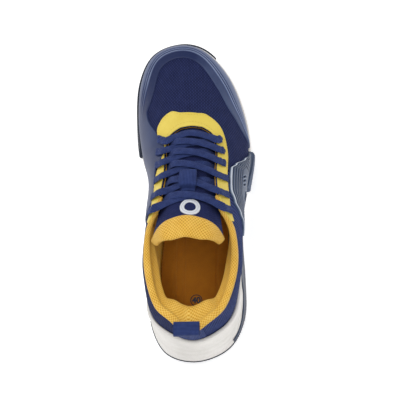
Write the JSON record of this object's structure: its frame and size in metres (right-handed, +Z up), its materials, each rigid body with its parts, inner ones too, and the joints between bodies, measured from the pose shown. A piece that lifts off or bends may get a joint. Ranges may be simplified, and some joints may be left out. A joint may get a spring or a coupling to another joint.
{
  "type": "court shoe",
  "caption": "Low-cut right court shoe with laced throat, padded collar, cup midsole, rubber outsole, moulded side cage and heel pull loop.",
  "frame": {"origin": "centre of the shoe's whole footprint, on the ground", "axes": "+Y towards the toe, +X towards the outer (lateral) side of a right foot, +Z up"},
  "size_m": [0.108, 0.2906, 0.111],
  "materials": {
    "midsole_foam": "matte moulded foam",
    "outsole_rubber": "matte rubber",
    "moulded_tpu": "satin moulding",
    "upper_mesh": "knitted mesh",
    "overlay_film": "satin film",
    "eyestay_film": "satin film",
    "lining_cloth": "textured knit",
    "sockliner_cloth": "brushed knit",
    "sockliner_foam": "matte foam",
    "padding_foam": "open foam",
    "stiffener_board": "pressed fibre board",
    "webbing": "woven webbing",
    "lace_cord": "flat woven lace",
    "aglet_plastic": "gloss film",
    "badge_print": "raised print"
  },
  "bodies": {
    "shoe": {"aglet_lateral": "aglet_plastic", "aglet_medial": "aglet_plastic", "collar_foam": "padding_foam", "collar_lining_lateral": "lining_cloth", "collar_lining_medial": "lining_cloth", "eyestay": "eyestay_film", "heel_counter": "stiffener_board", "heel_loop_anchor": "webbing", "lace_bar": "lace_cord", "lace_keeper": "webbing", "lace_run_lateral_1": "lace_cord", "lace_run_lateral_2": "lace_cord", "lace_run_lateral_3": "lace_cord", "lace_run_lateral_4": "lace_cord", "lace_run_lateral_5": "lace_cord", "lace_run_medial_1": "lace_cord", "lace_run_medial_2": "lace_cord", "lace_run_medial_3": "lace_cord", "lace_run_medial_4": "lace_cord", "lace_run_medial_5": "lace_cord", "lace_tail_lateral": "lace_cord", "lace_tail_medial": "lace_cord", "lateral_cage": "moulded_tpu", "lateral_outrigger": "moulded_tpu", "lateral_stabiliser": "moulded_tpu", "medial_overlay": "overlay_film", "midfoot_shank": "moulded_tpu", "midsole": "midsole_foam", "outsole_forefoot": "outsole_rubber", "outsole_heel": "outsole_rubber", "quarter_lateral": "upper_mesh", "quarter_medial": "upper_mesh", "sockliner_cloth": "sockliner_cloth", "sockliner_foam": "sockliner_foam", "strobel_board": "stiffener_board", "toe_guard": "overlay_film", "toe_puff": "stiffener_board", "toe_wrap": "outsole_rubber", "tongue_panel": "upper_mesh", "tongue_panel_foam": "padding_foam", "tongue_panel_lining": "lining_cloth", "vamp_lining": "lining_cloth", "vamp_mesh": "upper_mesh"},
    "tongue_end": {"tongue_head": "upper_mesh", "tongue_head_foam": "padding_foam", "tongue_head_lining": "lining_cloth", "tongue_badge": "badge_print"},
    "heel_loop": {"heel_pull_loop": "webbing"}
  },
  "joints": [
    {"name": "tongue_flex", "type": "hinge", "parent": "shoe", "child": "tongue_end", "pos_m": [0.0012, -0.02905, 0.10083], "axis": [1, 0, 0], "range_deg": [-25, 6]},
    {"name": "heel_loop_swing", "type": "hinge", "parent": "shoe", "child": "heel_loop", "pos_m": [0.00108, -0.13741, 0.0953], "axis": [1, 0, 0], "range_deg": [0, 70]}
  ]
}
